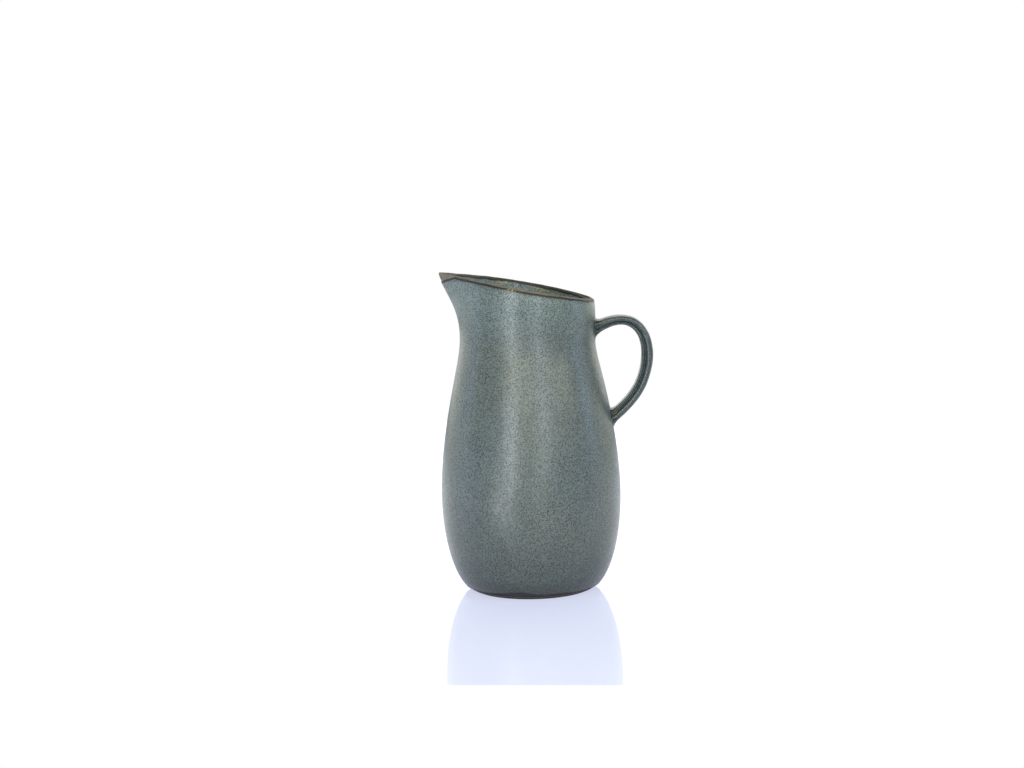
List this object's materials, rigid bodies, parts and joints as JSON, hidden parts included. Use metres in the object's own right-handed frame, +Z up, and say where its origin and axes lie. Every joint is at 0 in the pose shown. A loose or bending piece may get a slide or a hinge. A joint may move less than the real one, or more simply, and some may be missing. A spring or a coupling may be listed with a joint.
{
  "type": "ceramic pitcher",
  "caption": "Tall stoneware pitcher with a full belly, slanted rim, pointed pouring beak and grooved strap handle, in speckled satin glaze with bare lip and foot.",
  "frame": {"origin": "centre of the foot ring, on the surface the pitcher stands on", "axes": "+Z up, +X towards the handle, -X towards the pouring beak, +Y completes a right-handed frame"},
  "size_m": [0.1682, 0.141, 0.251],
  "materials": {
    "bare_stoneware": "unglazed fired clay, taupe-brown, dry and matt",
    "outer_glaze": "satin blue-grey-green glaze with fine dark iron speckle",
    "liner_glaze": "satin grey-green glaze with fine dark speckle and a few yellow glints"
  },
  "bodies": {
    "root": {"stoneware_body": "bare_stoneware", "body_glaze": "outer_glaze", "liner_glaze": "liner_glaze", "underside_glaze": "liner_glaze", "handle_strap": "bare_stoneware", "upper_handle_joint": "bare_stoneware", "lower_handle_joint": "bare_stoneware", "handle_glaze": "outer_glaze"}
  },
  "joints": []
}
